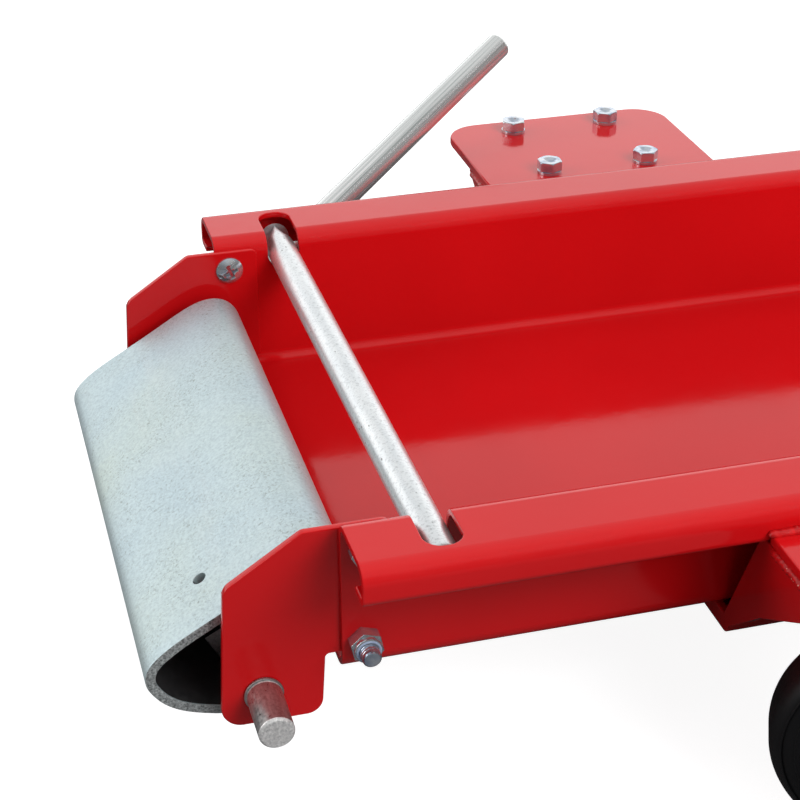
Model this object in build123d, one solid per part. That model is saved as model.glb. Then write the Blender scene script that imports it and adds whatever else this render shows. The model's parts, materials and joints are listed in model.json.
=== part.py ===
from build123d import *
import math
import os

os.makedirs("parts", exist_ok=True)

# ---------------------------------------------------------------- driving sizes (mm)
# Frame: origin on the ground at the middle of the dolly, +X towards the front
# wheel stop, +Y towards the lever side, +Z up.
TRAY_L = 2000.0          # length of the tray
TRAY_IN = 133.0          # half the clear width between the walls
TRAY_T = 3.0             # sheet thickness of the tray
TOP_Z = 133.0            # top of the flanges above the ground
FLOOR_Z = 62.8           # top of the tray floor
LIP_OUT = 172.8          # outer face of the down-turned lips
LIP_BOT = 116.0          # lower edge of the lips
BEND_R = 6.5             # centreline radius of the bends
RETURN = 13.0            # width of the inward return at the foot of the lips

RAMP_OVER = 78.629        # how far the ramp's toe reaches past the tray's end
X0 = -(TRAY_L + RAMP_OVER) / 2 + RAMP_OVER     # rear end of the tray
XF = X0 + TRAY_L                               # front end of the tray

ROD_R = 7.5              # stop bars and lever rod
BAR_X = X0 + 36.0        # rear stop bar
FRONT_BARS = (XF - 170.0, XF - 560.0)
NOTCH_R = 8.1            # half width of the bar notches
NOTCH_Z = 114.5          # bottom of the notches in the walls
NOTCH_REACH = 162.5      # outer end of the notches in the flange

PIV_X = X0 - 32.5        # ramp pivot
PIV_Z = 53.8
ROD_GAP = 0.08

BR_T = 3.5               # bracket sheet

OUT_W = 136.0            # outrigger width along X
OUT_XR = X0 + 234.0      # rear outrigger centre
OUT_XF = XF - 300.0      # front outrigger centre
CAST_Y = 235.0           # caster swivel axis, either side
PLATE_OUT = 285.0        # outer edge of the mounting plates
PLATE_Z = 121.0          # top of the mounting plates
PLATE_T = 5.0
BOLT_DX, BOLT_DY = 58.0, 65.0

WHEEL_R = 50.0
WHEEL_W = 30.0
TRAIL = 32.0
CASTERS = {              # swivel axis x, y, direction of the trail in degrees
    "rear_near": (OUT_XR, -CAST_Y, 155.0),
    "rear_far": (OUT_XR, CAST_Y, 172.0),
    "front_near": (OUT_XF, -CAST_Y, 163.0),
    "front_far": (OUT_XF, CAST_Y, 186.0),
}

written = []


def save(name, solids):
    if not isinstance(solids, (list, tuple)):
        solids = [solids]
    flat = []
    for s in solids:
        flat += list(s.solids())
    shape = flat[0] if len(flat) == 1 else Compound(children=flat)
    shape.label = name
    export_step(shape, f"parts/{name}.step")
    written.append(name)


def cyl(r, h, at, axis="z"):
    """Cylinder of radius r from `at` over h along axis."""
    d = {"x": (1, 0, 0), "y": (0, 1, 0), "z": (0, 0, 1)}[axis] if isinstance(axis, str) else axis
    pl = Plane(origin=at, z_dir=d)
    return extrude(pl * Circle(r), h)


def hexa(af, h, at, d, rot=0.0):
    pl = Plane(origin=at, z_dir=d)
    return extrude(pl * Rot(0, 0, rot) * RegularPolygon(af / 2, 6, major_radius=False), h)


def xz(points, y0, y1):
    """Prism of a polygon given as (x, z), between y0 and y1."""
    f = make_face(Polyline(*[(x, y0, z) for x, z in points], close=True))
    return extrude(f, amount=y1 - y0, dir=(0, 1, 0))


def yz(points, x0, x1):
    f = make_face(Polyline(*[(x0, y, z) for y, z in points], close=True))
    return extrude(f, amount=x1 - x0, dir=(1, 0, 0))


# ---------------------------------------------------------------- tray
y_l = LIP_OUT - TRAY_T / 2
y_w = TRAY_IN + TRAY_T / 2
z_t = TOP_Z - TRAY_T / 2
z_f = FLOOR_Z - TRAY_T / 2
z_r, y_r = LIP_BOT + TRAY_T / 2, LIP_OUT - RETURN
mid = [(-y_r, z_r), (-y_l, z_r), (-y_l, z_t), (-y_w, z_t), (-y_w, z_f),
       (y_w, z_f), (y_w, z_t), (y_l, z_t), (y_l, z_r), (y_r, z_r)]
path = FilletPolyline(*mid, radius=[2.5] + [BEND_R] * 6 + [2.5])
section = trace(path, TRAY_T)
tray = extrude(Plane.YZ.offset(X0) * section, TRAY_L)


def notch(x, side):
    """U notch for a bar, down through the wall and out across the flange."""
    y_in, y_end = side * 122.0, side * NOTCH_REACH
    a = Pos(x, (y_in + y_end) / 2, 131) * Box(2 * NOTCH_R, abs(y_end - y_in), 10)
    e = [k for k in a.edges().filter_by(Axis.Z) if abs(k.center().Y - y_end) < 0.1]
    a = fillet(e, 7.6)
    lo, hi = min(side * 122.0, side * 150.0), max(side * 122.0, side * 150.0)
    c = cyl(NOTCH_R, hi - lo, (x, lo, NOTCH_Z + NOTCH_R), "y")
    d = Pos(x, (lo + hi) / 2, NOTCH_Z + NOTCH_R + 10) * Box(2 * NOTCH_R, hi - lo, 20)
    return [a, c, d]


for bx in (BAR_X,) + FRONT_BARS:
    for s in (-1, 1):
        for k in notch(bx, s):
            tray -= k

# screw holes in the walls for the rear brackets and the front stop
SCREWS = {-1: [(X0 + 9.2, 74.2), (X0 + 10.4, 118.6)], 1: [(X0 + 9.2, 74.2), (X0 + 6.7, 118.6)]}
FSCREWS = [(XF - 20.0, 78.0), (XF - 20.0, 112.0)]
BOLT_R = 3.97
for s in (-1, 1):
    for x, z in SCREWS[s] + FSCREWS:
        tray -= cyl(BOLT_R + 0.15, 20, (x, s * 134.5 - 10, z), "y")
save("tray_channel", tray)

# ---------------------------------------------------------------- ramp brackets
outline = [(-45.5, 107.5), (-14.5, 128.3), (21.4, 128.3), (21.4, 68.0),
           (-6.2, 68.0), (-8.0, 39.0), (-50.5, 39.0), (-47.0, 104.5)]


def bracket(side):
    y0 = 133.0 - BR_T if side > 0 else -133.0
    pts = [(X0 + x, z) for x, z in outline]
    b = xz(pts, y0, y0 + BR_T)
    for k, r in ((6, 9.0), (5, 7.0), (1, 5.0), (2, 3.0), (0, 6.0), (4, 2.0)):
        px, pz = outline[k]
        e = [k2 for k2 in b.edges().filter_by(Axis.Y)
             if abs(k2.center().X - X0 - px) < 0.05 and abs(k2.center().Z - pz) < 0.05]
        if e:
            try:
                b = fillet(e, r)
            except Exception:
                pass
    b -= cyl(ROD_R + ROD_GAP, 20, (PIV_X, y0 - 5, PIV_Z), "y")
    for x, z in SCREWS[side]:
        b -= cyl(BOLT_R + 0.15, 20, (x, y0 - 5, z), "y")
    return b


save("ramp_bracket_near", bracket(-1))
save("ramp_bracket_far", bracket(1))

# ---------------------------------------------------------------- ramp
# D-shaped tube: a flat running face, two tight corners and a round belly.
A = math.radians(28.6)               # slope of the flat
RAMP_HALF = 121.0                    # half length along Y
RAMP_T = 4.4
OFF_U, OFF_D = 8.0, 36.4             # flat's middle from the pivot, along the flat and above it


def ramp_pt(u, d):
    """u along the flat from its middle, d down from the flat."""
    ux, uz = math.cos(A), math.sin(A)
    nx, nz = math.sin(A), -math.cos(A)
    x = PIV_X + (u + OFF_U) * ux + (d - OFF_D) * nx
    z = PIV_Z + (u + OFF_U) * uz + (d - OFF_D) * nz
    return x, z


# Outside of the shell in (u, d): toe, running face, heel, then back round the belly.
SHELL = [(-47.0, 14.5), (-45.6, 9.0), (-42.2, 5.0), (-37.5, 2.8), (-30.0, 1.2), (-20.0, 0.4),
         (-8.0, 0.1), (5.0, -0.3), (17.0, -0.9), (27.0, -1.2), (36.0, -0.4), (43.5, 2.6),
         (48.0, 7.8), (49.4, 14.5), (46.8, 23.5), (41.0, 30.0), (32.0, 36.8), (20.0, 43.4),
         (12.0, 47.6), (2.0, 50.8), (-8.0, 52.0), (-17.0, 50.6), (-25.0, 47.0),
         (-31.7, 41.8), (-37.9, 35.8), (-41.8, 31.1), (-44.6, 26.3), (-46.3, 21.4)]


def d_face(inset, y):
    def v(u, d):
        X, Z = ramp_pt(u, d)
        return Vector(X, y, Z)
    base = Spline(*[v(u, d) for u, d in SHELL], periodic=True)
    if inset == 0:
        return make_face(Wire([base]))
    # inner side: the same curve moved inwards by the sheet thickness
    mid = v(0, 24)
    pts = []
    for k in range(36):
        p, t = base @ (k / 36), base % (k / 36)
        n = t.cross(Vector(0, 1, 0)).normalized()
        if (mid - p).dot(n) < 0:
            n = n * -1
        pts.append(p + n * inset)
    return make_face(Wire([Spline(*pts, periodic=True)]))


outer = extrude(d_face(0, -RAMP_HALF), amount=2 * RAMP_HALF, dir=(0, 1, 0))
inner = extrude(d_face(RAMP_T, -RAMP_HALF - 1), amount=2 * RAMP_HALF + 2, dir=(0, 1, 0))
ramp = outer - inner
hx, hz = ramp_pt(-OFF_U, 0)
nrm = (math.sin(A), 0, -math.cos(A))
HOLE_Y = (-91.0, 91.0)
for hy in HOLE_Y[:1]:
    ramp -= cyl(2.9, 12, (hx - nrm[0] * 4, hy, hz - nrm[2] * 4), nrm)
save("ramp_shell", ramp)

# Two saddle blocks stand on the belly inside the shell and carry the rod.
blocks = []
for hy in HOLE_Y:
    pl = Plane(origin=(PIV_X, hy, PIV_Z), x_dir=(math.cos(A), 0, math.sin(A)), z_dir=(0, -1, 0))
    blk = extrude(pl * Pos(0, -4) * Rectangle(26, 34), 6, both=True)
    blk -= cyl(ROD_R + 0.02, 40, (PIV_X, hy - 20, PIV_Z), "y")
    core = extrude(d_face(RAMP_T + 0.02, hy - 6.5), amount=13, dir=(0, 1, 0))
    blk = blk & core
    blk -= cyl(2.5, 30, (PIV_X - nrm[0] * 30, hy, PIV_Z - nrm[2] * 30), nrm)
    blocks.append(blk)
save("ramp_saddle_blocks", blocks)

# Set screws, reached through the hole in the flat, bear on the rod.
sets = []
for hy in HOLE_Y:
    s0 = ROD_R + 0.01
    o = (PIV_X - nrm[0] * (s0 + 8), hy, PIV_Z - nrm[2] * (s0 + 8))
    s = cyl(2.48, 8, o, nrm) - hexa(2.5, 3, o, nrm)
    sets.append(s)
save("ramp_set_screws", sets)

# Pivot rod, its far end turned up and outwards as the lever.
y_near = -160.0
vtx = Vector(PIV_X, 143.5, PIV_Z)
tip_dir = Vector(227.6, 132.0, 117.0)
TIP_L = 292.5
u1 = Vector(0, 1, 0)
u2 = tip_dir.normalized()
ang = math.radians(u1.get_angle(u2))
rb = 16.0
tl = rb * math.tan(ang / 2)
p1 = vtx - u1 * tl
p2 = vtx + u2 * tl
bis = (u2 - u1).normalized()
cen = vtx + bis * (rb / math.cos(ang / 2))
pm = cen - bis * rb
tip = vtx + u2 * TIP_L
ln1 = Line(Vector(PIV_X, y_near, PIV_Z), p1)
arc = ThreePointArc(p1, pm, p2)
ln2 = Line(p2, tip)
rodpath = Wire([ln1, arc, ln2])
rod = sweep(Plane(origin=(PIV_X, y_near, PIV_Z), z_dir=(0, 1, 0)) * Circle(ROD_R), path=rodpath)
try:
    rod = chamfer(rod.edges().filter_by(GeomType.CIRCLE).sort_by(Axis.Y)[0], 1.2)
    e = [k for k in rod.edges().filter_by(GeomType.CIRCLE) if (k.arc_center - tip).length < 1]
    rod = fillet(e, 2.2)
except Exception as ex:
    print("rod edge", ex)
save("ramp_lever_rod", rod)

# ---------------------------------------------------------------- stop bars
BAR_HALF = 157.0


def bar(x):
    b = cyl(ROD_R, 2 * BAR_HALF, (x, -BAR_HALF, NOTCH_Z + 0.05 + ROD_R), "y")
    return chamfer(b.edges().filter_by(GeomType.CIRCLE), 1.0)


save("rear_stop_bar", bar(BAR_X))
save("front_stop_bar_a", bar(FRONT_BARS[0]))
save("front_stop_bar_b", bar(FRONT_BARS[1]))

# ---------------------------------------------------------------- front wheel stop
ear = [(XF - 40, 68.0), (XF - 6, 68.0), (XF - 6, 128), (XF - 26, 128), (XF - 40, 118)]
FS_Y = 133.0
stop = xz(ear, -FS_Y, -FS_Y + BR_T) + xz(ear, FS_Y - BR_T, FS_Y)
web = yz([(-FS_Y, 68.0), (FS_Y, 68.0), (FS_Y, 128), (110, 160), (-110, 160), (-FS_Y, 128)], XF - 6 - BR_T, XF - 6)
e = [k for k in web.edges().filter_by(Axis.X) if abs(k.center().Z - 160) < 0.1]
web = fillet(e, 20)
stop += web
for s in (-1, 1):
    for x, z in FSCREWS:
        stop -= cyl(BOLT_R + 0.15, 20, (x, s * 131 - 10, z), "y")
save("front_wheel_stop", stop)

# ---------------------------------------------------------------- screws and lock nuts
HEAD_R, HEAD_H = 6.9, 4.3
NUT_AF, NUT_H = 12.7, 8.2


def pan_screw(x, z, s):
    """Domed cross-recess head inside the tray, shank out through the wall."""
    y_face = s * (133.0 - BR_T)
    sh = cyl(BOLT_R, BR_T + TRAY_T + NUT_H + 5.6, (x, y_face, z), (0, s, 0))
    sh = chamfer(sh.edges().filter_by(GeomType.CIRCLE).sort_by(Axis.Y)[-1 if s > 0 else 0], 0.8)
    rs = (HEAD_R ** 2 + (HEAD_H - 1.0) ** 2) / (2 * (HEAD_H - 1.0))
    th = math.asin(HEAD_R / rs) / 2
    prof = Wire([Line((0, 0), (HEAD_R, 0)), Line((HEAD_R, 0), (HEAD_R, 1.0)),
                 ThreePointArc((HEAD_R, 1.0), (rs * math.sin(th), HEAD_H - rs + rs * math.cos(th)), (0, HEAD_H)),
                 Line((0, HEAD_H), (0, 0))])
    pl = Plane(origin=(x, y_face, z), x_dir=(1, 0, 0), z_dir=(0, 0, -s))
    hd = revolve(pl * make_face(prof), Axis((x, y_face, z), (0, 1, 0)))
    for a in (0, 90):
        c = Plane(origin=(x, y_face - s * (HEAD_H - 2.6), z), z_dir=(0, -s, 0)) * Rot(0, 0, a + 22) * Rectangle(7.4, 1.5)
        hd -= extrude(c, 5)
    return sh + hd


def lock_nut(at, d, af, h, r, rot=0.0):
    """Hex nut with the round collar of its nylon ring."""
    n = hexa(af, h * 0.72, at, d, rot)
    top = Vector(*at) + Vector(*d) * (h * 0.72 - 0.01)
    col = cyl(af / 2 - 0.4, h * 0.28, tuple(top), d)
    col = fillet(col.edges().filter_by(GeomType.CIRCLE).sort_by(lambda e: (e.arc_center - Vector(*at)).length)[-1], 0.9)
    n = n + col
    return n - cyl(r + 0.02, h * 3, tuple(Vector(*at) - Vector(*d) * h), d)


scr, nut = [], []
for s in (-1, 1):
    for i, (x, z) in enumerate(SCREWS[s] + FSCREWS):
        scr.append(pan_screw(x, z, s))
        nut.append(lock_nut((x, s * 136.0, z), (0, s, 0), NUT_AF, NUT_H, BOLT_R, (12, 30, 41, 55)[i]))
save("wall_screws", scr)
save("wall_lock_nuts", nut)

# ---------------------------------------------------------------- outriggers
# A pressed strip runs under the tray, turns up steeply at each side and ends
# under the lip. Its edges are turned up to the tray's underside, and outside
# the tray they widen into gussets that carry the mounting plates.
WEB_T = 4.0
gusset = [(231, 116), (205, 99.8), (171, 78.6), (138, 49.8), (-138, 49.8), (-171, 78.6),
          (-205, 99.8), (-231, 116), (-166, 116), (-139.5, 59.8), (139.5, 59.8), (166, 116)]


def outrigger(xc):
    x0, x1 = xc - OUT_W / 2, xc + OUT_W / 2
    o = yz(gusset, x0, x0 + WEB_T) + yz(gusset, x1 - WEB_T, x1)
    web_path = FilletPolyline((-168.1, 116), (-141.2, 51.8), (141.2, 51.8), (168.1, 116), radius=6)
    o += extrude(Plane.YZ.offset(x0) * trace(web_path, WEB_T), OUT_W)
    o -= Pos(xc, 0, 126) * Box(OUT_W + 4, 500, 20)
    ed = [k for k in o.edges().filter_by(Axis.Y) if abs(k.center().Z - 49.8) < 0.1
          and min(abs(k.center().X - x0), abs(k.center().X - x1)) < 0.1 and k.length > 100]
    try:
        o = fillet(ed, 3.0)
    except Exception as ex:
        print("outrigger fillet", ex)
    return o


def mount_plate(xc, s):
    ya, yb = s * (LIP_OUT + 0.05), s * PLATE_OUT
    p = Pos(xc, (ya + yb) / 2, PLATE_Z - PLATE_T / 2) * Box(OUT_W, abs(yb - ya), PLATE_T)
    e = [k for k in p.edges().filter_by(Axis.Z) if abs(k.center().Y - yb) < 0.1]
    p = fillet(e, 20)
    for dx in (-1, 1):
        for dy in (-1, 1):
            p -= cyl(4.2, 20, (xc + dx * BOLT_DX / 2, s * CAST_Y + dy * BOLT_DY / 2, 105))
    return p


save("rear_outrigger_beam", outrigger(OUT_XR))
save("front_outrigger_beam", outrigger(OUT_XF))
save("rear_caster_mounts", [mount_plate(OUT_XR, -1), mount_plate(OUT_XR, 1)])
save("front_caster_mounts", [mount_plate(OUT_XF, -1), mount_plate(OUT_XF, 1)])

# ---------------------------------------------------------------- casters
CB_R = 3.97
tops, pins, bolts, nuts, washers = [], [], [], [], []
for name, (cx, cy, ta) in CASTERS.items():
    # pressed top plate with the raised upper race
    tp = Pos(cx, cy, 114.5) * Box(88, 94, 3)
    tp = fillet(tp.edges().filter_by(Axis.Z), 10)
    race = Pos(cx, cy, 109.1) * Cone(27, 31, 8, align=(Align.CENTER, Align.CENTER, Align.CENTER))
    tp += race
    tp -= cyl(5.0, 30, (cx, cy, 95))
    for dx in (-1, 1):
        for dy in (-1, 1):
            bx, by = cx + dx * BOLT_DX / 2, cy + dy * BOLT_DY / 2
            tp -= cyl(4.2, 20, (bx, by, 105))
            hd = hexa(12.7, 5.6, (bx, by, 122.8), (0, 0, 1), 11 * (dx + 2 * dy))
            hd &= Pos(bx, by, 122.8 + 5.6 - 9.6) * Sphere(11.6)
            hd -= Pos(bx, by, 128.4 + 3.6) * Sphere(5.2)
            b = cyl(CB_R, 17.3, (bx, by, 105.6))
            b = chamfer(b.edges().filter_by(GeomType.CIRCLE).sort_by(Axis.Z)[0], 0.8)
            bolts.append(b + hd)
            w = cyl(7.0, 1.8, (bx, by, 121.0)) - cyl(4.2, 5, (bx, by, 119))
            w -= Pos(bx + 5.5, by, 121.9) * Rot(0, 0, 24) * Box(6, 1.0, 3)
            washers.append(w)
            nuts.append(lock_nut((bx, by, 113.0), (0, 0, -1), 12.7, 6.9, CB_R, 9 + 13 * dx + 21 * dy))
    tops.append(tp)
    # kingpin rivet, closed over at both ends
    k = cyl(4.98, 17.5, (cx, cy, 98.0)) + cyl(8.5, 2.6, (cx, cy, 96.4))
    pins.append(k)
save("caster_top_plates", tops)
save("caster_kingpins", pins)
save("caster_bolts", bolts)
save("caster_washers", washers)
save("caster_lock_nuts", nuts)

FORK_T = 3.0
LEG_Y = 20.0             # inner face of the fork legs from the wheel's middle plane
for name, (cx, cy, ta) in CASTERS.items():
    loc = Location((cx, cy, 0), (0, 0, ta))       # local +X is the trail
    crown = extrude(Plane.XY.offset(101.8) * (Circle(30) + Pos(14, 0) * Rectangle(34, 46)), 3.0)
    cut = cyl(5.05, 20, (0, 0, 95))
    legs = []
    for s in (-1, 1):
        ys = s * LEG_Y
        prof = [(-27, 104.8), (31, 104.8), (43, 60), (43, 44), (36, 37), (27, 37), (21, 44)]
        f = make_face(Polyline(*[(x, ys, z) for x, z in prof], close=True))
        lg = extrude(f, amount=FORK_T, dir=(0, s, 0))
        e = [q for q in lg.edges().filter_by(Axis.Y) if q.center().Z < 62]
        lg = fillet(e, 5)
        legs.append(lg)
    fork = crown + legs[0] + legs[1]
    # the crown reaches out to the legs
    fork += Pos(2, 0, 103.3) * Box(58, 2 * (LEG_Y + FORK_T), 3.0)
    # lower race, pressed up round the kingpin
    fork -= cut
    fork -= cyl(4.15, 80, (TRAIL, -40, WHEEL_R), "y")
    save(f"caster_fork_{name}", loc * fork)

    # tyre: rounded tread on a core
    r0, w = 38.0, WHEEL_W / 2
    l1 = Polyline((TRAIL, -w, WHEEL_R + WHEEL_R - 9), (TRAIL, -w, WHEEL_R + r0), (TRAIL, w, WHEEL_R + r0), (TRAIL, w, WHEEL_R + WHEEL_R - 9))
    a1 = ThreePointArc((TRAIL, w, WHEEL_R * 2 - 9), (TRAIL, w - 3.0, WHEEL_R * 2 - 2.9), (TRAIL, w - 9.5, WHEEL_R * 2))
    l2 = Line((TRAIL, w - 9.5, WHEEL_R * 2), (TRAIL, -w + 9.5, WHEEL_R * 2))
    a2 = ThreePointArc((TRAIL, -w + 9.5, WHEEL_R * 2), (TRAIL, -w + 3.0, WHEEL_R * 2 - 2.9), (TRAIL, -w, WHEEL_R * 2 - 9))
    face = make_face(Wire([*l1.edges(), a1, l2, a2]))
    ax = Axis((TRAIL, 0, WHEEL_R), (0, 1, 0))
    tyre = revolve(face, ax)
    save(f"caster_tyre_{name}", loc * tyre)

    # hub: rim, web with five pockets each side, and a long boss
    rim = cyl(r0 - 0.02, WHEEL_W - 3, (TRAIL, -(WHEEL_W - 3) / 2, WHEEL_R), "y")
    for s in (-1, 1):
        rim -= cyl(32.5, 9, (TRAIL, s * 9.0 - 4.5, WHEEL_R), "y")
    rim += cyl(14, 38.6, (TRAIL, -19.3, WHEEL_R), "y")
    for q in range(6):
        a = math.radians(60 * q + 15)
        rb_ = Plane(origin=(TRAIL, 0, WHEEL_R), x_dir=(math.cos(a), 0, math.sin(a)), z_dir=(0, -1, 0))
        rim += extrude(rb_ * Pos(22.5, 0) * Rectangle(22, 3.0), 11, both=True)
    rim -= cyl(6.05, 80, (TRAIL, -40, WHEEL_R), "y")
    save(f"caster_hub_{name}", loc * rim)

    # axle sleeve, bolt and lock nut
    sl = cyl(6.0, 39.7, (TRAIL, -19.85, WHEEL_R), "y") - cyl(4.1, 60, (TRAIL, -30, WHEEL_R), "y")
    y_in = LEG_Y + FORK_T
    ab = cyl(4.0, 2 * y_in + 12.5, (TRAIL, -y_in - 0.02, WHEEL_R), "y")
    ab += hexa(12.7, 5.3, (TRAIL, -y_in, WHEEL_R), (0, -1, 0), 10)
    an = lock_nut((TRAIL, y_in, WHEEL_R), (0, 1, 0), 12.7, 8.0, 4.0, 20)
    save(f"caster_axle_{name}", [loc * ab, loc * sl, loc * an])

print(len(written), "nodes")
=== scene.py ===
import json
import math
import random

import bmesh
import bpy
from mathutils import Matrix, Vector

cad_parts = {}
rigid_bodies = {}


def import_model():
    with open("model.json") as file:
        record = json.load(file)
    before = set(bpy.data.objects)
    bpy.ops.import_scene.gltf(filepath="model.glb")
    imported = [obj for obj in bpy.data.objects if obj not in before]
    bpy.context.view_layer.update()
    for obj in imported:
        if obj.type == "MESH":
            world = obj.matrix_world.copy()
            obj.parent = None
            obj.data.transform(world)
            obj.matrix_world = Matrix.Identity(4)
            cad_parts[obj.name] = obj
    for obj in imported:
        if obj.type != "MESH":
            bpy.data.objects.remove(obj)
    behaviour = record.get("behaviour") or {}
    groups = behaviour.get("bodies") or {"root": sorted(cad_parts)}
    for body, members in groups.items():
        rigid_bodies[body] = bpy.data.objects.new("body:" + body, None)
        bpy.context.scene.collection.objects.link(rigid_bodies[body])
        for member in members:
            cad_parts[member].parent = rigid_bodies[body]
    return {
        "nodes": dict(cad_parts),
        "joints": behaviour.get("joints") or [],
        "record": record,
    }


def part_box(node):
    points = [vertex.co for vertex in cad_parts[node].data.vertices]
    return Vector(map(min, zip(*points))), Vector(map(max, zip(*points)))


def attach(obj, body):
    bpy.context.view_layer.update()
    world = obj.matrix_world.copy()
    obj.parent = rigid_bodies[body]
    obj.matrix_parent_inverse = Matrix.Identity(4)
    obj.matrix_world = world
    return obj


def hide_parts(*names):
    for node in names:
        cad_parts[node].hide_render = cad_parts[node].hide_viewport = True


random.seed(7)
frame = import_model()
nodes = frame["nodes"]
SLOT = {s["node"]: s["material_slot"] for s in frame["record"]["subparts"]}
BODY = {n: b for b, ns in frame["record"]["behaviour"]["bodies"].items() for n in ns}
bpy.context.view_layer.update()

X0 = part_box("tray_channel")[0][0]
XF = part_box("tray_channel")[1][0]
MM = 0.001


# ================================================================ node helpers
class Mat:
    """A small builder for procedural materials in object space (metres)."""

    def __init__(self, name):
        self.m = bpy.data.materials.new(name)
        self.m.use_nodes = True
        self.t = self.m.node_tree
        self.n = self.t.nodes
        self.l = self.t.links
        self.bsdf = self.n["Principled BSDF"]
        self.tc = self.n.new("ShaderNodeTexCoord")

    def link(self, a, b):
        self.l.new(a, b)

    def coord(self, scale=(1, 1, 1), rot=(0, 0, 0)):
        mp = self.n.new("ShaderNodeMapping")
        mp.inputs["Scale"].default_value = scale
        mp.inputs["Rotation"].default_value = rot
        self.link(self.tc.outputs["Object"], mp.inputs["Vector"])
        return mp.outputs[0]

    def noise(self, scale, detail=3, rough=0.5, vec=None, dist=0.0):
        k = self.n.new("ShaderNodeTexNoise")
        k.inputs["Scale"].default_value = scale
        k.inputs["Detail"].default_value = detail
        k.inputs["Roughness"].default_value = rough
        k.inputs["Distortion"].default_value = dist
        self.link(vec or self.tc.outputs["Object"], k.inputs["Vector"])
        return k.outputs["Fac"]

    def voronoi(self, scale, vec=None, feature="F1", rand=1.0):
        k = self.n.new("ShaderNodeTexVoronoi")
        k.feature = feature
        k.inputs["Scale"].default_value = scale
        k.inputs["Randomness"].default_value = rand
        self.link(vec or self.tc.outputs["Object"], k.inputs["Vector"])
        return k.outputs["Distance"], k.outputs["Color"]

    def wave(self, scale, direction="Z", vec=None, dist=0.0):
        k = self.n.new("ShaderNodeTexWave")
        k.bands_direction = direction
        k.inputs["Scale"].default_value = scale
        k.inputs["Distortion"].default_value = dist
        self.link(vec or self.tc.outputs["Object"], k.inputs["Vector"])
        return k.outputs["Fac"]

    def ramp(self, fac, stops):
        k = self.n.new("ShaderNodeValToRGB")
        e = k.color_ramp.elements
        while len(e) < len(stops):
            e.new(0.5)
        for q, (p, c) in zip(e, stops):
            q.position = p
            q.color = c if len(c) == 4 else (*c, 1)
        self.link(fac, k.inputs["Fac"])
        return k.outputs["Color"]

    def step(self, fac, a, b, lo=0.0, hi=1.0):
        k = self.n.new("ShaderNodeMapRange")
        k.inputs["From Min"].default_value = a
        k.inputs["From Max"].default_value = b
        k.inputs["To Min"].default_value = lo
        k.inputs["To Max"].default_value = hi
        self.link(fac, k.inputs["Value"])
        return k.outputs["Result"]

    def mix(self, fac, a, b, mode="MIX"):
        k = self.n.new("ShaderNodeMix")
        k.data_type = "RGBA"
        k.blend_type = mode
        for s, v in ((k.inputs[0], fac), (k.inputs[6], a), (k.inputs[7], b)):
            if isinstance(v, bpy.types.NodeSocket):
                self.link(v, s)
            else:
                s.default_value = v if not isinstance(v, tuple) or len(v) == 4 else (*v, 1)
        return k.outputs[2]

    def math(self, op, a, b=0.0):
        k = self.n.new("ShaderNodeMath")
        k.operation = op
        for s, v in zip(k.inputs, (a, b)):
            if isinstance(v, bpy.types.NodeSocket):
                self.link(v, s)
            else:
                s.default_value = v
        return k.outputs[0]

    def bump(self, height, strength, distance, prev=None):
        k = self.n.new("ShaderNodeBump")
        k.inputs["Strength"].default_value = strength
        k.inputs["Distance"].default_value = distance
        self.link(height, k.inputs["Height"])
        if prev is not None:
            self.link(prev, k.inputs["Normal"])
        return k.outputs["Normal"]

    def set(self, **kw):
        for key, v in kw.items():
            s = self.bsdf.inputs[key.replace("_", " ")]
            if isinstance(v, bpy.types.NodeSocket):
                self.link(v, s)
            else:
                s.default_value = v if not isinstance(v, tuple) or len(v) == 4 else (*v, 1)
        return self.m


# ================================================================ materials
def red_coat():
    b = Mat("red_powder_coat")
    broad = b.noise(9, 2)
    col = b.ramp(broad, [(0.30, (0.560, 0.0045, 0.0065)), (0.70, (0.625, 0.0055, 0.0080))])
    # a few pale dust nibs in the coat
    d, _ = b.voronoi(240)
    nib = b.step(d, 0.020, 0.035, 1.0, 0.0)
    pick = b.step(b.noise(60, 1), 0.66, 0.70)
    nibs = b.math("MULTIPLY", nib, pick)
    col = b.mix(b.math("MULTIPLY", nibs, 0.35), col, (0.75, 0.20, 0.20))
    peel = b.noise(420, 2, 0.45)
    flow = b.noise(120, 1)
    rough = b.step(b.noise(35, 3), 0.3, 0.7, 0.075, 0.125)
    n1 = b.bump(flow, 0.22, 0.00016)
    n2 = b.bump(peel, 0.28, 0.00005, n1)
    n3 = b.bump(nibs, 0.6, 0.00006, n2)
    return b.set(Base_Color=col, Roughness=rough, Normal=n3, IOR=1.5)


def red_weld():
    b = Mat("red_weld_bead")
    col = b.ramp(b.noise(400, 3), [(0.35, (0.42, 0.004, 0.006)), (0.7, (0.62, 0.008, 0.010))])
    # bare bright nibs where the coat has run thin on the ripples
    d, _ = b.voronoi(520)
    nib = b.math("MULTIPLY", b.step(d, 0.14, 0.26, 1.0, 0.0), b.step(b.noise(170, 3, 0.6), 0.50, 0.58))
    col = b.mix(b.math("MULTIPLY", nib, 0.85), col, (0.95, 0.62, 0.50))
    n1 = b.bump(b.noise(900, 3, 0.6), 0.7, 0.0002)
    return b.set(Base_Color=col, Roughness=b.step(b.noise(300, 2), 0.3, 0.7, 0.10, 0.26), Normal=n1)


def dist_vec(b):
    """Object coordinates pushed about a little, for ragged marks."""
    k = b.n.new("ShaderNodeTexNoise")
    k.inputs["Scale"].default_value = 300
    b.link(b.tc.outputs["Object"], k.inputs["Vector"])
    sc_ = b.n.new("ShaderNodeVectorMath")
    sc_.operation = "MULTIPLY_ADD"
    b.link(k.outputs["Color"], sc_.inputs[0])
    sc_.inputs[1].default_value = (0.004, 0.004, 0.004)
    b.link(b.tc.outputs["Object"], sc_.inputs[2])
    return sc_.outputs[0]


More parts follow.
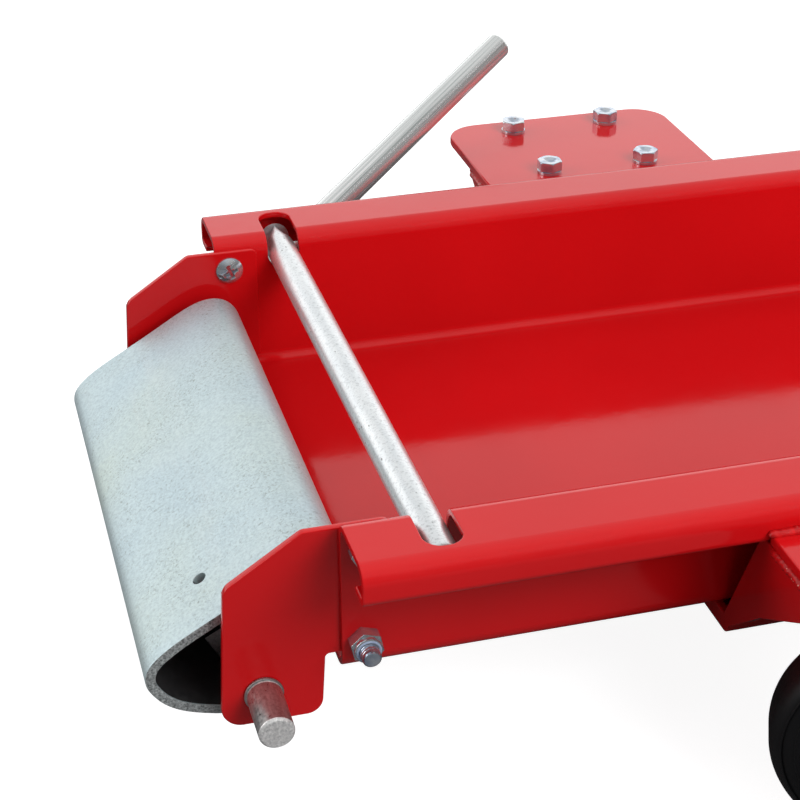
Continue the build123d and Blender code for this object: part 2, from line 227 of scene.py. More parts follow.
def shell_bore_painted_shade():
    # near-black painted shade for the inside faces of the ramp shell's bore, where little light reaches
    b = Mat("shell_bore_painted_shade")
    k = b.noise(300, 3, 0.6)
    c = b.ramp(k, [(0.3, (0.012, 0.012, 0.013)), (0.7, (0.030, 0.030, 0.031))])
    return b.set(Base_Color=c, Roughness=b.step(k, 0.3, 0.7, 0.6, 0.8), Normal=b.bump(k, 0.3, 0.0001))


def cut_end():
    b = Mat("shell_cut_end")
    k = b.noise(900, 4, 0.65)
    c = b.ramp(k, [(0.36, (0.13, 0.14, 0.14)), (0.50, (0.40, 0.43, 0.43)), (0.66, (0.66, 0.70, 0.70))])
    line = b.noise(500, 2, 0.5, b.coord((0.2, 1.0, 1.0)))
    c = b.mix(b.step(line, 0.55, 0.68, 0.0, 0.45), c, (0.20, 0.21, 0.21))
    return b.set(Base_Color=c, Metallic=0.5, Roughness=b.step(k, 0.3, 0.7, 0.40, 0.58), Normal=b.bump(k, 0.4, 0.0001))


def zinc_matt():
    b = Mat("zinc_matt")
    speck = b.noise(650, 4, 0.65)
    fine = b.noise(1700, 2, 0.6)
    broad = b.noise(14, 3, 0.55, dist=0.6)
    base = b.ramp(broad, [(0.28, (0.600, 0.725, 0.775)), (0.52, (0.640, 0.755, 0.780)), (0.74, (0.665, 0.770, 0.750))])
    c2 = b.mix(b.step(speck, 0.40, 0.66, 0.0, 0.42), base, (0.40, 0.49, 0.53))
    c3 = b.mix(b.step(fine, 0.58, 0.76, 0.0, 0.40), c2, (0.80, 0.87, 0.89))
    # soft wipe marks along the width
    wipe = b.noise(60, 4, 0.6, b.coord((1.0, 0.08, 1.0)))
    c4 = b.mix(b.step(wipe, 0.56, 0.72, 0.0, 0.22), c3, (0.74, 0.78, 0.78))
    # small dark pits
    d, _ = b.voronoi(210)
    pit = b.math("MULTIPLY", b.step(d, 0.03, 0.06, 1.0, 0.0), b.step(b.noise(45, 2), 0.58, 0.62))
    c5 = b.mix(b.math("MULTIPLY", pit, 0.7), c4, (0.12, 0.13, 0.13))
    # dark flecks and scuffs, gathered in loose patches
    d2 = b.noise(780, 5, 0.72, dist_vec(b))
    cl = b.noise(26, 4, 0.65, dist=0.8)
    fleck = b.math("MULTIPLY", b.step(d2, 0.53, 0.66), b.step(cl, 0.42, 0.60, 0.18, 1.0))
    c5 = b.mix(b.math("MULTIPLY", fleck, 0.72), c5, (0.20, 0.235, 0.225))
    d3, _ = b.voronoi(150, dist_vec(b))
    scuff = b.math("MULTIPLY", b.step(d3, 0.05, 0.16, 1.0, 0.0), b.step(b.noise(38, 3, 0.6), 0.55, 0.64))
    c5 = b.mix(b.math("MULTIPLY", scuff, 0.40), c5, (0.30, 0.34, 0.31))
    c5 = b.mix(b.step(b.noise(11, 2), 0.50, 0.72, 0.0, 0.16), c5, (0.66, 0.72, 0.55))
    rough = b.step(speck, 0.3, 0.7, 0.46, 0.62)
    n1 = b.bump(speck, 0.35, 0.00010)
    n2 = b.bump(wipe, 0.10, 0.0002, n1)
    return b.set(Base_Color=c5, Metallic=0.72, Roughness=rough, Normal=n2)


def zinc_bar():
    b = Mat("zinc_bar")
    speck = b.noise(900, 4, 0.65)
    fine = b.noise(2300, 2, 0.6)
    streak = b.noise(260, 3, 0.6, b.coord((1.0, 0.10, 1.0)))
    base = b.ramp(streak, [(0.3, (0.76, 0.80, 0.82)), (0.6, (0.86, 0.89, 0.90))])
    c2 = b.mix(b.step(speck, 0.50, 0.70, 0.0, 0.60), base, (0.36, 0.38, 0.39))
    d, _ = b.voronoi(330, b.coord((1.0, 0.45, 1.0)))
    fleck = b.math("MULTIPLY", b.step(d, 0.10, 0.16, 1.0, 0.0), b.step(b.noise(110, 2), 0.53, 0.60))
    c3 = b.mix(b.math("MULTIPLY", fleck, 0.75), c2, (0.16, 0.17, 0.17))
    c4 = b.mix(b.step(fine, 0.6, 0.75, 0.0, 0.4), c3, (0.92, 0.93, 0.93))
    n1 = b.bump(speck, 0.30, 0.00007)
    n2 = b.bump(fleck, 0.4, 0.00008, n1)
    return b.set(Base_Color=c4, Metallic=0.85, Roughness=b.step(speck, 0.3, 0.7, 0.27, 0.42), Normal=n2)


def bright_rod():
    b = Mat("bright_rod")
    # drawing marks that run along the rod, its own length along U
    uv = b.n.new("ShaderNodeUVMap")
    uv.uv_map = "UVMap"
    mp = b.n.new("ShaderNodeMapping")
    mp.inputs["Scale"].default_value = (5.0, 900.0, 1.0)
    b.link(uv.outputs[0], mp.inputs["Vector"])
    k = b.noise(1.0, 3, 0.6, mp.outputs[0])
    mp2 = b.n.new("ShaderNodeMapping")
    mp2.inputs["Scale"].default_value = (14.0, 2600.0, 1.0)
    b.link(uv.outputs[0], mp2.inputs["Vector"])
    k2 = b.noise(1.0, 2, 0.6, mp2.outputs[0])
    col = b.ramp(k, [(0.30, (0.42, 0.46, 0.45)), (0.47, (0.80, 0.83, 0.82)), (0.64, (1.0, 1.0, 1.0))])
    col = b.mix(b.step(k2, 0.58, 0.72, 0.0, 0.55), col, (0.42, 0.44, 0.45))
    spot = b.noise(1500, 3, 0.6)
    col = b.mix(b.step(spot, 0.62, 0.74, 0.0, 0.45), col, (0.28, 0.30, 0.30))
    n1 = b.bump(k2, 0.35, 0.00004)
    n2 = b.bump(spot, 0.15, 0.00003, n1)
    return b.set(Base_Color=col, Metallic=0.78, Roughness=b.step(k, 0.3, 0.7, 0.20, 0.30), Normal=n2)


def worn_steel(name, dark=1.0, metal=1.0):
    b = Mat(name)
    k = b.noise(700, 4, 0.6)
    turn = b.noise(900, 2, 0.5, b.coord((1.0, 0.15, 1.0)))
    c = b.ramp(k, [(0.3, (0.34 * dark, 0.34 * dark, 0.34 * dark)), (0.7, (0.60 * dark, 0.59 * dark, 0.58 * dark))])
    c = b.mix(b.step(turn, 0.5, 0.7, 0.0, 0.5), c, (0.75 * dark, 0.75 * dark, 0.74 * dark))
    return b.set(Base_Color=c, Metallic=metal, Roughness=b.step(k, 0.3, 0.7, 0.26, 0.44), Normal=b.bump(k, 0.25, 0.00006))


def zinc_hardware():
    b = Mat("zinc_hardware")
    k = b.noise(1300, 3, 0.6)
    tint = b.noise(170, 2)
    c = b.ramp(tint, [(0.3, (0.36, 0.44, 0.56)), (0.5, (0.62, 0.68, 0.76)), (0.7, (0.68, 0.70, 0.70))])
    c = b.mix(b.step(k, 0.5, 0.72, 0.0, 0.4), c, (0.45, 0.47, 0.50))
    return b.set(Base_Color=c, Metallic=0.86, Roughness=b.step(k, 0.3, 0.7, 0.13, 0.24), Normal=b.bump(k, 0.25, 0.00004))


def nylon():
    b = Mat("nylon_insert")
    k = b.noise(1200, 2)
    c = b.ramp(k, [(0.3, (0.30, 0.38, 0.55)), (0.7, (0.42, 0.50, 0.66))])
    return b.set(Base_Color=c, Roughness=b.step(k, 0.3, 0.7, 0.35, 0.5), Normal=b.bump(k, 0.2, 0.00004))


def black_paint():
    b = Mat("caster_black_paint")
    k = b.noise(500, 3, 0.55)
    c = b.ramp(b.noise(40, 3), [(0.3, (0.010, 0.010, 0.011)), (0.7, (0.020, 0.020, 0.022))])
    chip = b.math("MULTIPLY", b.step(b.noise(900, 3, 0.6), 0.66, 0.70), b.step(b.noise(70, 2), 0.55, 0.62))
    c = b.mix(b.math("MULTIPLY", chip, 0.6), c, (0.16, 0.16, 0.165))
    return b.set(Base_Color=c, Roughness=b.step(k, 0.3, 0.7, 0.26, 0.40), Normal=b.bump(k, 0.30, 0.00008))


def black_plastic():
    b = Mat("hub_moulded_plastic")
    k = b.noise(1100, 3, 0.6)
    c = b.ramp(b.noise(50, 2), [(0.3, (0.013, 0.013, 0.014)), (0.7, (0.024, 0.024, 0.025))])
    return b.set(Base_Color=c, Roughness=b.step(k, 0.3, 0.7, 0.42, 0.60), Normal=b.bump(k, 0.35, 0.00006))


def tyre_rubber():
    b = Mat("tyre_rubber")
    k = b.noise(800, 4, 0.6)
    dust = b.noise(70, 4, 0.6)
    c = b.ramp(b.noise(30, 3), [(0.3, (0.0025, 0.0025, 0.003)), (0.7, (0.005, 0.005, 0.0055))])
    c = b.mix(b.step(dust, 0.60, 0.80, 0.0, 0.10), c, (0.05, 0.048, 0.046))
    return b.set(Base_Color=c, Specular_IOR_Level=0.30, Roughness=b.step(k, 0.3, 0.7, 0.36, 0.54), Normal=b.bump(k, 0.30, 0.00010))


def race_steel():
    b = Mat("race_steel")
    k = b.noise(900, 3, 0.6)
    c = b.ramp(k, [(0.3, (0.18, 0.18, 0.19)), (0.7, (0.34, 0.34, 0.35))])
    return b.set(Base_Color=c, Metallic=1.0, Roughness=b.step(k, 0.3, 0.7, 0.25, 0.40), Normal=b.bump(k, 0.2, 0.00005))


M = {
    "red_powder_coat": red_coat(),
    "zinc_matt": zinc_matt(),
    "zinc_bar": zinc_bar(),
    "bright_rod": bright_rod(),
    "zinc_hardware": zinc_hardware(),
    # block_steel is worn steel darkened to 0.7 as painted shade, so the saddle blocks inside the shell's bore stay
    # dark
    "block_steel": worn_steel("block_steel", 0.7),
    "caster_steel": black_paint(),
    "black_plastic": black_plastic(),
    "tyre_rubber": tyre_rubber(),
}
M_WELD = red_weld()
M_STUB = worn_steel("rod_end_steel", 0.92, 0.88)
M_FACE = worn_steel("rod_face_steel", 1.55, 0.50)
M_NYLON = nylon()
M_BORE_SHADE = shell_bore_painted_shade()
M_CUT = cut_end()
M_RACE = race_steel()


# ================================================================ mesh helpers
def tidy(me, sharp_deg=32.0, weighted=True, obj=None):
    me.shade_smooth()
    me.set_sharp_from_angle(angle=math.radians(sharp_deg))
    if weighted and obj is not None:
        w = obj.modifiers.new("weighted", "WEIGHTED_NORMAL")
        w.keep_sharp = True
        w.weight = 100


def add(name, bm_or_me, body, mat):
    if isinstance(bm_or_me, bmesh.types.BMesh):
        me = bpy.data.meshes.new(name)
        bm_or_me.to_mesh(me)
        bm_or_me.free()
    else:
        me = bm_or_me
    me.materials.clear()
    me.materials.append(mat)
    o = bpy.data.objects.new(name, me)
    bpy.context.scene.collection.objects.link(o)
    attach(o, body)
    return o


def refined(node, bevel, segments=2, angle=34.0, sharp=32.0, skip=None):
    """The CAD node's own shape, welded, with its sharp edges broken, so that they catch the light."""
    bm = bmesh.new()
    bm.from_mesh(nodes[node].data)
    bmesh.ops.remove_doubles(bm, verts=bm.verts, dist=4e-6)
    bmesh.ops.dissolve_limit(bm, angle_limit=math.radians(0.25), use_dissolve_boundaries=False,
                             verts=bm.verts, edges=bm.edges)
    if bevel > 0:
        es = []
        for e in bm.edges:
            if len(e.link_faces) != 2:
                continue
            if e.calc_face_angle(0) > math.radians(angle):
                if skip is None or not skip(e):
                    es.append(e)
        bmesh.ops.bevel(bm, geom=es, offset=bevel * MM, offset_type="OFFSET", segments=segments,
                        profile=0.5, affect="EDGES", clamp_overlap=False, miter_outer="SHARP")
        bmesh.ops.remove_doubles(bm, verts=bm.verts, dist=2e-6)
    me = bpy.data.meshes.new(node + "_fine")
    bm.to_mesh(me)
    bm.free()
    o = add(node + "_fine", me, BODY[node], M[SLOT[node]])
    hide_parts(node)
    tidy(me, sharp, True, o)
    return o


def tube(name, pts, radii, body, mat, seg=32, uv_len=True, cap=True):
    """A swept round bar through pts with a radius at each point, with its length along U."""
    bm = bmesh.new()
    uvl = bm.loops.layers.uv.new("UVMap")
    pts = [Vector(p) for p in pts]
    rings, dist = [], 0.0
    t0 = (pts[1] - pts[0]).normalized()
    up = Vector((0, 0, 1)) if abs(t0.z) < 0.9 else Vector((1, 0, 0))
    nrm = (up - t0 * up.dot(t0)).normalized()
    ds = []
    for i, p in enumerate(pts):
        if i == 0:
            t = (pts[1] - pts[0])
        elif i == len(pts) - 1:
            t = (pts[-1] - pts[-2])
        else:
            t = (pts[i + 1] - pts[i]).normalized() + (pts[i] - pts[i - 1]).normalized()
        t.normalize()
        nrm = (nrm - t * nrm.dot(t)).normalized()
        bi = t.cross(nrm)
        if i:
            dist += (p - pts[i - 1]).length
        ds.append(dist)
        rings.append([bm.verts.new(p + (nrm * math.cos(2 * math.pi * k / seg) + bi * math.sin(2 * math.pi * k / seg)) * radii[i])
                      for k in range(seg)])
    for i in range(len(pts) - 1):
        for k in range(seg):
            k2 = (k + 1) % seg
            f = bm.faces.new((rings[i][k], rings[i][k2], rings[i + 1][k2], rings[i + 1][k]))
            uv = ((ds[i], k / seg), (ds[i], (k + 1) / seg), (ds[i + 1], (k + 1) / seg), (ds[i + 1], k / seg))
            for lp, q in zip(f.loops, uv):
                lp[uvl].uv = (q[0], q[1] * 0.047)
    if cap:
        bm.faces.new(list(reversed(rings[0])))
        bm.faces.new(rings[-1])
    bmesh.ops.recalc_face_normals(bm, faces=bm.faces)
    o = add(name, bm, body, mat)
    tidy(o.data, 40, True, o)
    return o


def thread(name, start, axis, length, r_root, r_crest, pitch, body, seg=28):
    """A helical thread ridge on a shank."""
    bm = bmesh.new()
    a = Vector(axis).normalized()
    u = a.orthogonal().normalized()
    v = a.cross(u)
    turns = length / pitch
    n = max(8, int(turns * seg))
    prev = None
    s = Vector(start)
    for i in range(n + 1):
        f = i / seg
        th = 2 * math.pi * f
        h = f * pitch
        fade = min(1.0, i / (seg * 0.4), (n - i) / (seg * 0.4))
        d = u * math.cos(th) + v * math.sin(th)
        rc = r_root + (r_crest - r_root) * max(fade, 0.02)
        row = [bm.verts.new(s + a * (h - pitch * 0.36) + d * (r_root - 0.00003)),
               bm.verts.new(s + a * (h - pitch * 0.06) + d * rc),
               bm.verts.new(s + a * (h + pitch * 0.06) + d * rc),
               bm.verts.new(s + a * (h + pitch * 0.36) + d * (r_root - 0.00003))]
        if prev:
            for k in range(3):
                bm.faces.new((prev[k], prev[k + 1], row[k + 1], row[k]))
            bm.faces.new((prev[3], prev[0], row[0], row[3]))
        else:
            bm.faces.new(row)
        prev = row
    bm.faces.new(list(reversed(prev)))
    bmesh.ops.recalc_face_normals(bm, faces=bm.faces)
    return bm


def merge(bms):
    out = bmesh.new()
    for b in bms:
        me = bpy.data.meshes.new("tmp")
        b.to_mesh(me)
        b.free()
        out.from_mesh(me)
        bpy.data.meshes.remove(me)
    return out


def islands(node):
    """Centre and box of each separate solid in a node's mesh."""
    bm = bmesh.new()
    bm.from_mesh(nodes[node].data)
    bmesh.ops.remove_doubles(bm, verts=bm.verts, dist=4e-6)
    seen, out = set(), []
    for v in bm.verts:
        if v in seen:
            continue
        st, grp = [v], []
        seen.add(v)
        while st:
            q = st.pop()
            grp.append(q.co.copy())
            for e in q.link_edges:
                w = e.other_vert(q)
                if w not in seen:
                    seen.add(w)
                    st.append(w)
        lo = Vector([min(c[i] for c in grp) for i in range(3)])
        hi = Vector([max(c[i] for c in grp) for i in range(3)])
        out.append((lo, hi))
    bm.free()
    return out


def bead(name, p, q, r, body, up=(0, 0, 1), seg=10, squash=0.75):
    """A laid weld bead with its ripples, from p to q."""
    bm = bmesh.new()
    p, q = Vector(p), Vector(q)
    L = (q - p).length
    n = max(6, int(L / 0.0011))
    t = (q - p).normalized()
    u = Vector(up)
    u = (u - t * u.dot(t)).normalized()
    v = t.cross(u)
    rings = []
    for i in range(n + 1):
        f = i / n
        end = min(1.0, math.sqrt(max(0.0, 1 - (1 - min(f, 1 - f) * L / (r * 1.6)) ** 2)) if min(f, 1 - f) * L < r * 1.6 else 1.0)
        ripple = 1 + 0.13 * math.sin(i * 2 * math.pi / 2.6) + random.uniform(-0.09, 0.09)
        rr = r * max(0.12, end) * ripple
        wob = u * random.uniform(-0.05, 0.05) * r + v * math.sin(f * 9 + 1.3) * 0.10 * r
        c = p + t * (f * L) + wob
        rings.append([bm.verts.new(c + (u * math.cos(2 * math.pi * k / seg) * squash + v * math.sin(2 * math.pi * k / seg)) * rr) for k in range(seg)])
    for i in range(n):
        for k in range(seg):
            k2 = (k + 1) % seg
            bm.faces.new((rings[i][k], rings[i][k2], rings[i + 1][k2], rings[i + 1][k]))
    bm.faces.new(list(reversed(rings[0])))
    bm.faces.new(rings[-1])
    bmesh.ops.recalc_face_normals(bm, faces=bm.faces)
    return bm


def ring(centre, axis, R, r, seg=64, sec=12):
    """A torus."""
    bm = bmesh.new()
    a = Vector(axis).normalized()
    u = a.orthogonal().normalized()
    v = a.cross(u)
    c = Vector(centre)
    rows = []
    for i in range(seg):
        th = 2 * math.pi * i / seg
        d = u * math.cos(th) + v * math.sin(th)
        rows.append([bm.verts.new(c + d * (R + r * math.cos(2 * math.pi * k / sec)) + a * r * math.sin(2 * math.pi * k / sec)) for k in range(sec)])
    for i in range(seg):
        for k in range(sec):
            k2 = (k + 1) % sec
            j = (i + 1) % seg
            bm.faces.new((rows[i][k], rows[j][k], rows[j][k2], rows[i][k2]))
    bmesh.ops.recalc_face_normals(bm, faces=bm.faces)
    return bm


# ================================================================ the CAD pieces, with their edges broken
BEVEL = {
    "tray_channel": 0.7,
    "ramp_bracket_near": 0.8,
    "ramp_bracket_far": 0.8,
    "front_wheel_stop": 0.8,
    "rear_outrigger_beam": 0.7,
    "front_outrigger_beam": 0.7,
    "rear_caster_mounts": 1.1,
    "front_caster_mounts": 1.1,
    "ramp_shell": 0.7,
    "ramp_saddle_blocks": 0.4,
    "ramp_set_screws": 0.12,
    "wall_screws": 0.0,
    "wall_lock_nuts": 0.28,
    "caster_top_plates": 0.6,
    "caster_kingpins": 0.5,
    "caster_bolts": 0.3,
    "caster_washers": 0.22,
    "caster_lock_nuts": 0.32,
}
fine = {}
for n in sorted(nodes):
    if n in ("ramp_lever_rod", "rear_stop_bar", "front_stop_bar_a", "front_stop_bar_b"):
        continue
    b = BEVEL.get(n)
    if b is None:
        b = 0.5 if "fork" in n else 0.25 if "axle" in n else 0.35 if "hub" in n else 0.0
    fine[n] = refined(n, b)

# the shell's bore, painted near-black as shade, and its sawn ends
SA, CA = math.sin(math.radians(28.6)), math.cos(math.radians(28.6))
ax_ = Vector((X0 - 32.5 * MM + 8 * MM * CA - 14 * MM * SA, 0, 53.8 * MM + 8 * MM * SA + 14 * MM * CA))
sh = fine["ramp_shell"].data
sh.materials.append(M_BORE_SHADE)
sh.materials.append(M_CUT)
# faces that look in towards the bore's axis get the near-black painted shade
for f in sh.polygons:
    if abs(f.normal.y) > 0.85 and abs(f.center.y) > 120 * MM:
        f.material_index = 2
    elif abs(f.normal.y) < 0.3 and f.normal.dot(Vector((f.center.x, 0, f.center.z)) - ax_) < 0:
        f.material_index = 1

# ---------------------------------------------------------------- lever rod
PX, PZ = X0 - 32.5 * MM, 53.8 * MM
R = 7.5 * MM
vtx = Vector((PX, 143.5 * MM, PZ))
u1 = Vector((0, 1, 0))
u2 = Vector((227.6, 132.0, 117.0)).normalized()
ang = u1.angle(u2)
rb = 16 * MM
tl = rb * math.tan(ang / 2)
p1, p2 = vtx - u1 * tl, vtx + u2 * tl
cen = vtx + (u2 - u1).normalized() * (rb / math.cos(ang / 2))
tip = vtx + u2 * 292.5 * MM
pts, rad = [], []


def put(p, r):
    pts.append(Vector(p))
    rad.append(r)


y0 = -160 * MM
put((PX, y0, PZ), R - 1.15 * MM)
put((PX, y0 + 0.25 * MM, PZ), R - 0.85 * MM)
put((PX, y0 + 1.0 * MM, PZ), R - 0.12 * MM)
put((PX, y0 + 1.4 * MM, PZ), R)
ys = [y0 + 1.4 * MM + (p1.y - y0 - 1.4 * MM) * k / 12 for k in range(1, 12)]
ys = sorted([y for y in ys if abs(y + 134.3 * MM) > 3 * MM] + [-135.5 * MM, -133.1 * MM])
for y in ys:
    put((PX, y, PZ), R)
nrm = u1.cross(u2).normalized()
for k in range(13):
    q = Matrix.Rotation(ang * k / 12, 3, nrm)
    put(cen + q @ (p1 - cen), R)
for k in range(1, 16):
    put(p2 + (tip - u2 * 2.2 * MM - p2) * k / 16, R)
for k in range(7):
    a = math.radians(15 * k)
    put(tip - u2 * 2.2 * MM * (1 - math.sin(a)), R - 2.2 * MM * (1 - math.cos(a)))
lever = tube("lever_rod_fine", pts, rad, "ramp", M["bright_rod"], seg=40)
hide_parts("ramp_lever_rod")
lever.data.materials.append(M_STUB)
lever.data.materials.append(M_FACE)
for f in lever.data.polygons:
    if f.center.y < -158.7 * MM or -135.2 * MM < f.center.y < -133.0 * MM:
        f.material_index = 2
    elif f.center.y < -126 * MM:
        f.material_index = 1

collar = add("rod_wear_ring", ring((PX, -134.0 * MM, PZ), (0, 1, 0), 7.55 * MM, 0.75 * MM, 56, 10), "ramp", M_STUB)
tidy(collar.data, 45, False, None)

# ---------------------------------------------------------------- stop bars
for n in ("rear_stop_bar", "front_stop_bar_a", "front_stop_bar_b"):
    lo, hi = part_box(n)
    cx, cz = (lo.x + hi.x) / 2, (lo.z + hi.z) / 2
    r = (hi.z - lo.z) / 2
    pts, rad = [], []
    e = 1.2 * MM
    for k in range(7):
        a = math.radians(15 * k)
        put((cx, lo.y + e * (1 - math.sin(a)), cz), r - e * (1 - math.cos(a)))
    pts.reverse()
    rad.reverse()
    pts, rad = pts[::-1], rad[::-1]
    seq = sorted(zip([p.y for p in pts], rad))
    pts = [Vector((cx, y, cz)) for y, _ in seq]
    rad = [q for _, q in seq]
    for k in range(1, 24):
        put((cx, lo.y + e + (hi.y - lo.y - 2 * e) * k / 24, cz), r * (1 + random.uniform(-0.004, 0.0)))
    for k in range(7):
        a = math.radians(15 * (6 - k))
        put((cx, hi.y - e * (1 - math.sin(a)), cz), r - e * (1 - math.cos(a)))
    o = tube(n + "_fine", pts, rad, BODY[n], M["zinc_bar"], seg=36)
    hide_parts(n)

# ---------------------------------------------------------------- threads and lock-nut inserts
bms, ins = [], []
for lo, hi in islands("wall_screws"):
    s = 1 if (lo.y + hi.y) > 0 else -1
    y_end = hi.y if s > 0 else lo.y
    c = Vector(((lo.x + hi.x) / 2, 0, (lo.z + hi.z) / 2))
    L = 7.6 * MM
    bms.append(thread("t", (c.x, y_end - s * L, c.z), (0, s, 0), L - 0.7 * MM, 3.75 * MM, 4.12 * MM, 1.41 * MM, "frame"))
for lo, hi in islands("wall_lock_nuts"):
    s = 1 if (lo.y + hi.y) > 0 else -1
    y_end = hi.y if s > 0 else lo.y
    ins.append(ring(((lo.x + hi.x) / 2, y_end - s * 0.25 * MM, (lo.z + hi.z) / 2), (0, 1, 0), 4.75 * MM, 0.62 * MM, 40, 8))
add("wall_screw_threads", merge(bms), "frame", M["zinc_hardware"])
for lo, hi in islands("caster_lock_nuts"):
    ins.append(ring(((lo.x + hi.x) / 2, (lo.y + hi.y) / 2, lo.z + 0.25 * MM), (0, 0, 1), 4.75 * MM, 0.62 * MM, 40, 8))
add("lock_nut_inserts", merge(ins), "frame", M_NYLON)

# ---------------------------------------------------------------- welds
beads = []
for node in ("rear_caster_mounts", "front_caster_mounts"):
    for lo, hi in islands(node):
        s = 1 if lo.y + hi.y > 0 else -1
        y = s * 173.9 * MM
        beads.append(bead("w", (lo.x - 1.5 * MM, y - s * 0.1 * MM, hi.z + 0.5 * MM), (hi.x + 1.5 * MM, y - s * 0.1 * MM, hi.z + 0.5 * MM), 2.3 * MM, "frame", (0, 0, 1)))
for node in ("rear_outrigger_beam", "front_outrigger_beam"):
    lo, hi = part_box(node)
    for x, sx in ((lo.x, -1), (hi.x, 1)):
        # under the tray floor
        for ya, yb in ((-122, -74), (-30, 28), (76, 122)):
            beads.append(bead("w", (x - sx * 0.2 * MM, ya * MM, 59.0 * MM), (x - sx * 0.2 * MM, yb * MM, 59.0 * MM), 2.1 * MM, "frame", (0, 0, 1)))
        # gusset to mounting plate
        for s in (-1, 1):
            beads.append(bead("w", (x - sx * 0.2 * MM, s * 176 * MM, 115.3 * MM), (x - sx * 0.2 * MM, s * 226 * MM, 115.3 * MM), 1.9 * MM, "frame", (0, 0, 1)))
welds = add("weld_beads", merge(beads), "frame", M_WELD)
tidy(welds.data, 60, False, None)

# ---------------------------------------------------------------- casters: races, dust rings, tyre lines
for c in ("rear_near", "rear_far", "front_near", "front_far"):
    lo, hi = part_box("caster_tyre_" + c)
    cen = (lo + hi) / 2
    j = next(q for q in frame["joints"] if q["name"] == "spin_" + c)
    sw = next(q for q in frame["joints"] if q["name"] == "swivel_" + c)
    ax = Vector(j["axis"])
    p = Vector(j["pos_m"])
    lines = [ring(p, ax, 49.68 * MM, 0.28 * MM, 96, 8)]
    for s in (-1, 1):
        lines.append(ring(p + ax * s * 14.85 * MM, ax, 40.0 * MM, 0.45 * MM, 80, 8))
        lines.append(ring(p + ax * s * 14.1 * MM, ax, 45.3 * MM, 0.40 * MM, 88, 8))
    add("tyre_lines_" + c, merge(lines), "wheel_" + c, M["tyre_rubber"])
    q = Vector(sw["pos_m"])
    races = [ring((q.x, q.y, 104.95 * MM), (0, 0, 1), 27.5 * MM, 1.25 * MM, 72, 12)]
    add("race_" + c, merge(races), "frame", M_RACE)
for o in bpy.context.scene.objects:
    if o.type == "MESH" and o.name.startswith(("tyre_lines", "race_", "lock_nut_ins", "wall_screw_thr", "caster_bolt_thr")):
        tidy(o.data, 45, False, None)

# ================================================================ stage
sc = bpy.context.scene


def plane(name, size, z, mat):
    bm = bmesh.new()
    bmesh.ops.create_grid(bm, x_segments=2, y_segments=2, size=size)
    me = bpy.data.meshes.new(name)
    bm.to_mesh(me)
    bm.free()
    me.materials.append(mat)
    o = bpy.data.objects.new(name, me)
    o.location.z = z
    sc.collection.objects.link(o)
    return o


fm = bpy.data.materials.new("studio_floor")
fm.use_nodes = True
fn, fl = fm.node_tree.nodes, fm.node_tree.links
fb = fn["Principled BSDF"]
fb.inputs["Base Color"].default_value = (0.42, 0.42, 0.425, 1)
fb.inputs["Roughness"].default_value = 0.9
fb.inputs["Specular IOR Level"].default_value = 0.05
fb.inputs["Emission Color"].default_value = (1, 1, 1, 1)
fb.inputs["Emission Strength"].default_value = 0.90
dim = fn.new("ShaderNodeBsdfDiffuse")
dim.inputs["Color"].default_value = (0.16, 0.16, 0.165, 1)
lp = fn.new("ShaderNodeLightPath")
fmix = fn.new("ShaderNodeMixShader")
fl.new(lp.outputs["Is Camera Ray"], fmix.inputs[0])
fl.new(dim.outputs[0], fmix.inputs[1])
fl.new(fb.outputs[0], fmix.inputs[2])
fl.new(fmix.outputs[0], fn["Material Output"].inputs["Surface"])
plane("studio_floor", 14, -0.0004, fm)

# soft studio surroundings: a bright backdrop behind, a softer ceiling, a quiet near side
w = bpy.data.worlds.new("studio")
sc.world = w
w.use_nodes = True
wn, wl = w.node_tree.nodes, w.node_tree.links
bg = wn["Background"]
tc = wn.new("ShaderNodeTexCoord")
sep = wn.new("ShaderNodeSeparateXYZ")
wl.new(tc.outputs["Generated"], sep.inputs[0])


def curve(socket, stops):
    k = wn.new("ShaderNodeValToRGB")
    e = k.color_ramp.elements
    while len(e) < len(stops):
        e.new(0.5)
    for q, (p, v) in zip(e, stops):
        q.position = p
        q.color = (v, v, v, 1)
    wl.new(socket, k.inputs["Fac"])
    return k.outputs["Color"]


def wmath(op, a, b):
    k = wn.new("ShaderNodeMath")
    k.operation = op
    for s_, v in zip(k.inputs, (a, b)):
        if isinstance(v, bpy.types.NodeSocket):
            wl.new(v, s_)
        else:
            s_.default_value = v
    return k.outputs[0]


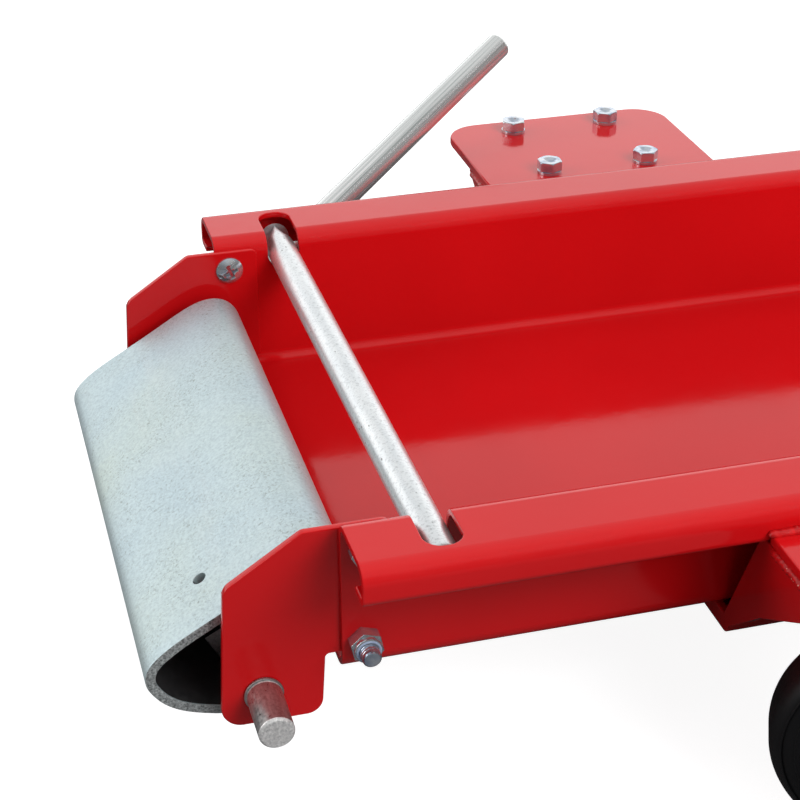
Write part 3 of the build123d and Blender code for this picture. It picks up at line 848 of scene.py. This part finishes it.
back = curve(sep.outputs["Z"], [(0.0, 0.62), (0.405, 0.70), (0.470, 0.44), (0.62, 0.36), (1.0, 0.34)])
front = curve(sep.outputs["Z"], [(0.0, 0.05), (0.45, 0.07), (0.75, 0.20), (1.0, 0.34)])
half = wn.new("ShaderNodeMapRange")
half.inputs["From Min"].default_value = -0.25
half.inputs["From Max"].default_value = 0.30
wl.new(sep.outputs["Y"], half.inputs["Value"])
wm = wn.new("ShaderNodeMix")
wm.data_type = "RGBA"
wl.new(half.outputs[0], wm.inputs[0])
wl.new(front, wm.inputs[6])
wl.new(back, wm.inputs[7])
wl.new(wm.outputs[2], bg.inputs["Color"])
bg.inputs["Strength"].default_value = 2.0


def area(name, loc, target, size, power, spread=180, glossy=True):
    d = bpy.data.lights.new(name, "AREA")
    d.shape = "RECTANGLE"
    d.size, d.size_y = size
    d.energy = power
    d.spread = math.radians(spread)
    o = bpy.data.objects.new(name, d)
    o.location = loc
    o.rotation_euler = (Vector(target) - Vector(loc)).to_track_quat("-Z", "Y").to_euler()
    o.visible_glossy = glossy
    sc.collection.objects.link(o)
    return o


CX = X0 + 0.15
area("key_front", (CX + 1.2, -2.1, 2.1), (CX, 0, 0.1), (1.9, 1.5), 66, glossy=False)
area("low_front", (CX + 0.4, -2.6, 0.75), (CX, 0, 0.08), (2.4, 1.0), 14, glossy=False)
area("left_soft", (CX - 2.4, 0.2, 1.3), (CX, 0, 0.08), (1.2, 1.6), 16)

# ================================================================ camera
yaw, pitch, roll = 0.2651, 0.5128, 0.0048
fwd = Vector((math.sin(yaw) * math.cos(pitch), math.cos(yaw) * math.cos(pitch), -math.sin(pitch)))
right = Vector((math.cos(yaw), -math.sin(yaw), 0))
down = fwd.cross(right)
r2 = right * math.cos(roll) + down * math.sin(roll)
d2 = down * math.cos(roll) - right * math.sin(roll)
cd = bpy.data.cameras.new("cam")
cd.sensor_width = 36
cd.lens = 84.78
cd.clip_start, cd.clip_end = 0.05, 60
cam = bpy.data.objects.new("cam", cd)
sc.collection.objects.link(cam)
mat = Matrix.Identity(4)
for i in range(3):
    mat[i][0], mat[i][1], mat[i][2] = r2[i], -d2[i], -fwd[i]
mat[0][3], mat[1][3], mat[2][3] = X0 - 0.138, -0.7352, 0.533
cam.matrix_world = mat
sc.camera = cam
sc.view_settings.view_transform = "Standard"
sc.view_settings.look = "None"
sc.view_settings.exposure = 0.0
sc.view_settings.gamma = 1.0

bpy.context.view_layer.update()
